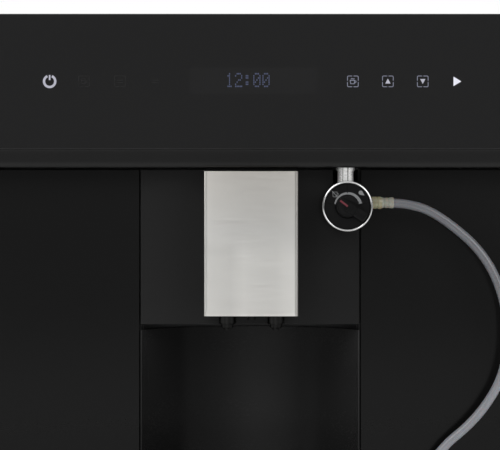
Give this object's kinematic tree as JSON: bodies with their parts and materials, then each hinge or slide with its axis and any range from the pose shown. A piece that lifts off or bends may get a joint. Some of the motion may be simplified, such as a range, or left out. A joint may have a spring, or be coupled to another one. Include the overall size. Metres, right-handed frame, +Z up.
{
  "type": "built-in coffee machine",
  "caption": "Built-in bean-to-cup coffee machine with glass touch panel, steel coffee spout, milk frother dial and hose, cup niche, drip drawer and slide-out rails.",
  "frame": {"origin": "centre of the four shelf screw holes on the underside of the base tray, which lies on the shelf of the cabinet niche", "axes": "+X to the machine's own right hand when seen from the front, +Y to the back of the cabinet, +Z up; the front faces -Y"},
  "size_m": [0.595, 0.436, 0.457],
  "materials": {
    "black_glass": "gloss, black on the back",
    "gloss_black": "gloss",
    "front_black": "satin gloss",
    "niche_black": "satin",
    "housing_plastic": "matt",
    "spout_steel": "brushed across",
    "grid_steel": "brushed",
    "chrome_trim": "polished",
    "sheet_steel": "galvanised",
    "frame_alloy": "plain",
    "motor_steel": "machined",
    "circuit_board": "matt",
    "pipe_brass": "plain",
    "hose_silicone": "satin, translucent",
    "connector_cream": "satin",
    "clear_tank": "clear, tinted"
  },
  "bodies": {
    "base": {"base_tray": "sheet_steel", "outer_rails": "sheet_steel"},
    "machine": {"inner_rails": "sheet_steel", "chassis_pan": "sheet_steel", "inner_chassis": "sheet_steel", "side_covers": "sheet_steel", "rear_cover": "sheet_steel", "top_cover": "sheet_steel", "front_frame": "frame_alloy", "control_glass": "black_glass", "control_housing": "housing_plastic", "lower_trim": "gloss_black", "control_boards": "circuit_board", "right_panel": "front_black", "column_panel": "front_black", "spout_guide_frame": "housing_plastic", "guide_rods": "motor_steel", "niche_roof": "niche_black", "frother_tube": "chrome_trim", "frother_body": "housing_plastic", "frother_ring": "chrome_trim", "frother_face": "gloss_black", "hose_connector": "connector_cream", "milk_hose": "hose_silicone", "park_socket": "housing_plastic", "tank_runners": "housing_plastic", "tank_socket": "housing_plastic", "bean_hopper": "clear_tank", "grinder_housing": "housing_plastic", "upper_burr": "motor_steel", "grinder_motor": "motor_steel", "infuser_frame": "housing_plastic", "coffee_boiler": "frame_alloy", "steam_boiler": "frame_alloy", "water_pump": "motor_steel", "steam_valve": "frame_alloy", "power_board": "circuit_board", "mains_inlet": "housing_plastic", "water_pipes": "pipe_brass"},
    "spout": {"spout_cover": "spout_steel", "spout_body": "housing_plastic", "spout_nozzles": "gloss_black"},
    "drip_drawer": {"tray_front": "front_black", "drip_tray": "housing_plastic", "niche_liner": "niche_black", "grounds_container": "housing_plastic"},
    "grid": {"drip_grid": "grid_steel"},
    "float": {"tray_float": "housing_plastic"},
    "frother_dial": {"dial_knob": "gloss_black"},
    "tank_drawer": {"tank_drawer_front": "front_black", "tank_carrier": "housing_plastic"},
    "tank": {"water_tank": "clear_tank"},
    "tank_filler_flap": {"tank_flap": "clear_tank"},
    "hopper_lid": {"bean_lid": "housing_plastic"},
    "grind_selector": {"grind_knob": "housing_plastic"},
    "burr": {"lower_burr": "motor_steel"},
    "pinion": {"motor_pinion": "motor_steel"},
    "carriage": {"infuser_carriage": "housing_plastic"},
    "screw": {"lead_screw": "motor_steel"},
    "rocker": {"mains_rocker": "housing_plastic"}
  },
  "joints": [
    {"name": "rail_slide", "type": "slide", "parent": "base", "child": "machine", "axis": [0, -1, 0], "range_m": [0, 0.28]},
    {"name": "spout_height", "type": "slide", "parent": "machine", "child": "spout", "axis": [0, 0, -1], "range_m": [0, 0.055]},
    {"name": "drip_drawer_slide", "type": "slide", "parent": "machine", "child": "drip_drawer", "axis": [0, -1, 0], "range_m": [0, 0.2]},
    {"name": "grid_lift", "type": "slide", "parent": "drip_drawer", "child": "grid", "axis": [0, 0, 1], "range_m": [0, 0.03]},
    {"name": "float_rise", "type": "slide", "parent": "drip_drawer", "child": "float", "axis": [0, 0, 1], "range_m": [0, 0.012]},
    {"name": "dial_turn", "type": "hinge", "parent": "machine", "child": "frother_dial", "pos_m": [0.0773, -0.205, 0.3028], "axis": [0, 1, 0], "range_deg": [0, 95]},
    {"name": "tank_drawer_slide", "type": "slide", "parent": "machine", "child": "tank_drawer", "axis": [0, -1, 0], "range_m": [0, 0.22]},
    {"name": "tank_lift", "type": "slide", "parent": "tank_drawer", "child": "tank", "axis": [0, 0, 1], "range_m": [0, 0.03]},
    {"name": "tank_flap_hinge", "type": "hinge", "parent": "tank", "child": "tank_filler_flap", "pos_m": [-0.18, -0.061, 0.2158], "axis": [-1, 0, 0], "range_deg": [0, 90]},
    {"name": "hopper_lid_hinge", "type": "hinge", "parent": "machine", "child": "hopper_lid", "pos_m": [-0.012, 0.006, 0.4471], "axis": [-1, 0, 0], "range_deg": [0, 95]},
    {"name": "grind_select", "type": "hinge", "parent": "machine", "child": "grind_selector", "pos_m": [-0.16, -0.06, 0.445], "axis": [0, 0, 1], "range_deg": [0, 270]},
    {"name": "burr_spin", "type": "hinge", "parent": "machine", "child": "burr", "pos_m": [0, -0.08, 0.27], "axis": [0, 0, 1], "continuous": true},
    {"name": "pinion_spin", "type": "hinge", "parent": "machine", "child": "pinion", "pos_m": [0.0375, -0.08, 0.25], "axis": [0, 0, 1], "continuous": true},
    {"name": "chamber_rise", "type": "slide", "parent": "machine", "child": "carriage", "axis": [0, 0, 1], "range_m": [0, 0.05]},
    {"name": "screw_spin", "type": "hinge", "parent": "machine", "child": "screw", "pos_m": [0, 0.116, 0.18], "axis": [0, 0, 1], "continuous": true},
    {"name": "rocker_tilt", "type": "hinge", "parent": "machine", "child": "rocker", "pos_m": [0.168, 0.1965, 0.11], "axis": [1, 0, 0], "range_deg": [0, 14]}
  ],
  "couplings": [
    {"joint": "pinion_spin", "follows": "burr_spin", "ratio": -4},
    {"joint": "screw_spin", "follows": "chamber_rise", "rad_per_m": 392.7}
  ]
}
